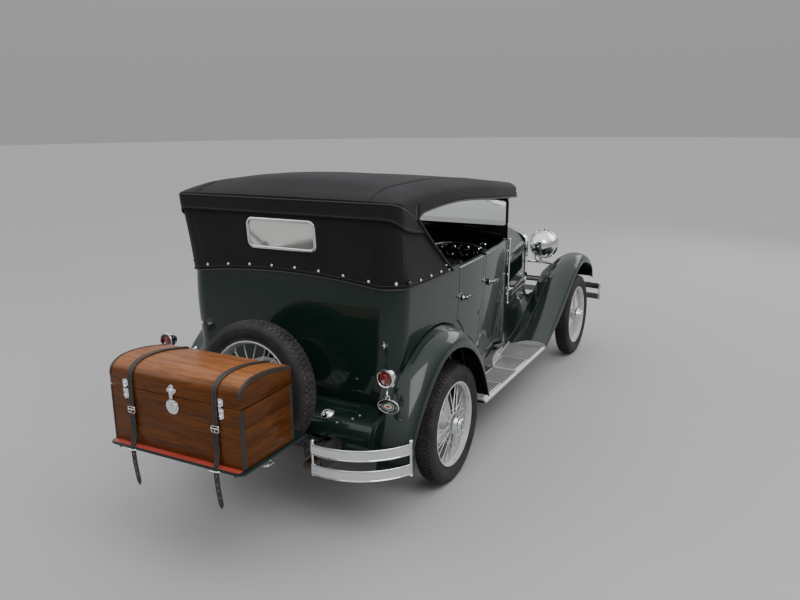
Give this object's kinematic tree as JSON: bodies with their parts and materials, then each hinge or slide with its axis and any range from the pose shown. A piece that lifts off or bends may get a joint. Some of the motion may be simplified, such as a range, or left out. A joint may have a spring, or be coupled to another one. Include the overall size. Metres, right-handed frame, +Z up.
{
  "type": "open touring car",
  "caption": "Open four-door touring car of about 1930 with canvas top, wire wheels, rear spare and a wooden trunk on a rack; doors, hood, lid, steering and wheels move.",
  "frame": {"origin": "floor level under the middle of the car's overall length and width", "axes": "+Z up, -Y to the front of the car, +X to its left side"},
  "size_m": [1.676, 4.95, 1.8431],
  "materials": {
    "body_green": "gloss dark green enamel",
    "black_paint": "gloss black enamel",
    "black_iron": "satin black chassis paint, dusty",
    "engine_iron": "painted cast iron",
    "exhaust_steel": "browned steel",
    "bright_chrome": "polished",
    "wheel_silver": "silver enamel",
    "tyre_rubber": "matt",
    "black_leather": "grained, semi gloss",
    "strap_leather": "dark worn leather",
    "black_canvas": "woven canvas, matt",
    "trunk_wood": "red-brown varnish",
    "screen_glass": "clear"
  },
  "bodies": {
    "root": {"chassis_frame": "black_iron", "front_axle": "black_iron", "rear_axle": "black_iron", "engine_block": "engine_iron", "exhaust": "exhaust_steel", "fuel_tank": "black_iron", "radiator": "bright_chrome", "cowl": "body_green", "rear_body": "body_green", "body_floor": "body_green", "front_seat": "black_leather", "rear_seat": "black_leather", "windshield_frame": "black_paint", "windshield_glass": "screen_glass", "top_canvas": "black_canvas", "top_bows": "black_paint", "front_fenders": "body_green", "rear_fenders": "body_green", "running_boards": "body_green", "rear_apron": "body_green", "headlamps": "bright_chrome", "tail_lamps": "bright_chrome", "bumpers": "bright_chrome", "front_bumper_bars": "bright_chrome", "spare_wheel": "wheel_silver", "spare_carrier": "black_paint", "spare_tyre": "tyre_rubber", "luggage_rack": "body_green", "trunk_box": "trunk_wood", "trunk_straps": "strap_leather"},
    "trunk_lid": {"trunk_lid": "trunk_wood"},
    "door_front_left": {"door_front_left": "body_green"},
    "door_front_right": {"door_front_right": "body_green"},
    "door_rear_left": {"door_rear_left": "body_green"},
    "door_rear_right": {"door_rear_right": "body_green"},
    "hood_left": {"hood_left": "body_green"},
    "hood_right": {"hood_right": "body_green"},
    "steering_wheel": {"steering_wheel": "black_paint"},
    "knuckle_left": {"knuckle_left": "black_iron"},
    "knuckle_right": {"knuckle_right": "black_iron"},
    "tie_rod": {"tie_rod": "black_iron"},
    "road_wheel_front_left": {"wheel_front_left": "wheel_silver", "tyre_front_left": "tyre_rubber"},
    "road_wheel_front_right": {"wheel_front_right": "wheel_silver", "tyre_front_right": "tyre_rubber"},
    "road_wheel_rear_left": {"wheel_rear_left": "wheel_silver", "tyre_rear_left": "tyre_rubber"},
    "road_wheel_rear_right": {"wheel_rear_right": "wheel_silver", "tyre_rear_right": "tyre_rubber"}
  },
  "joints": [
    {"name": "front_left_door_hinge", "type": "hinge", "parent": "root", "child": "door_front_left", "pos_m": [0.6225, -0.245, 0.9], "axis": [0, 0, -1], "range_deg": [0, 65]},
    {"name": "front_right_door_hinge", "type": "hinge", "parent": "root", "child": "door_front_right", "pos_m": [-0.6225, -0.245, 0.9], "axis": [0, 0, 1], "range_deg": [0, 65]},
    {"name": "rear_left_door_hinge", "type": "hinge", "parent": "root", "child": "door_rear_left", "pos_m": [0.674, 0.35, 0.9], "axis": [-0.0847, 0, -0.9964], "range_deg": [0, 65]},
    {"name": "rear_right_door_hinge", "type": "hinge", "parent": "root", "child": "door_rear_right", "pos_m": [-0.674, 0.35, 0.9], "axis": [-0.0847, 0, 0.9964], "range_deg": [0, 65]},
    {"name": "hood_left_hinge", "type": "hinge", "parent": "root", "child": "hood_left", "pos_m": [0, -0.655, 1.213], "axis": [0, -0.9976, -0.0696], "range_deg": [0, 60]},
    {"name": "hood_right_hinge", "type": "hinge", "parent": "root", "child": "hood_right", "pos_m": [0, -0.655, 1.213], "axis": [0, 0.9976, 0.0696], "range_deg": [0, 60]},
    {"name": "trunk_lid_hinge", "type": "hinge", "parent": "root", "child": "trunk_lid", "pos_m": [0, 2.052, 0.9245], "axis": [1, 0, 0], "range_deg": [0, 80]},
    {"name": "steering_wheel_turn", "type": "hinge", "parent": "root", "child": "steering_wheel", "pos_m": [0.33, -0.085, 1.095], "axis": [0, 0.8, 0.6], "range_deg": [-448.5, 448.5]},
    {"name": "left_king_pin", "type": "hinge", "parent": "root", "child": "knuckle_left", "pos_m": [0.575, -1.819, 0.361], "axis": [0, 0, 1], "range_deg": [-34.5, 34.5]},
    {"name": "right_king_pin", "type": "hinge", "parent": "root", "child": "knuckle_right", "pos_m": [-0.575, -1.819, 0.361], "axis": [0, 0, 1], "range_deg": [-34.5, 34.5]},
    {"name": "tie_rod_pin", "type": "hinge", "parent": "knuckle_left", "child": "tie_rod", "pos_m": [0.575, -1.654, 0.252], "axis": [0, 0, 1], "range_deg": [-34.5, 34.5]},
    {"name": "front_left_wheel_spin", "type": "hinge", "parent": "knuckle_left", "child": "road_wheel_front_left", "pos_m": [0.711, -1.819, 0.361], "axis": [1, 0, 0], "continuous": true},
    {"name": "front_right_wheel_spin", "type": "hinge", "parent": "knuckle_right", "child": "road_wheel_front_right", "pos_m": [-0.711, -1.819, 0.361], "axis": [1, 0, 0], "continuous": true},
    {"name": "rear_left_wheel_spin", "type": "hinge", "parent": "root", "child": "road_wheel_rear_left", "pos_m": [0.711, 0.95, 0.361], "axis": [1, 0, 0], "continuous": true},
    {"name": "rear_right_wheel_spin", "type": "hinge", "parent": "root", "child": "road_wheel_rear_right", "pos_m": [-0.711, 0.95, 0.361], "axis": [1, 0, 0], "continuous": true}
  ],
  "couplings": [
    {"joint": "left_king_pin", "follows": "steering_wheel_turn", "ratio": 0.076923},
    {"joint": "right_king_pin", "follows": "steering_wheel_turn", "ratio": 0.076923},
    {"joint": "tie_rod_pin", "follows": "steering_wheel_turn", "ratio": -0.076923}
  ]
}
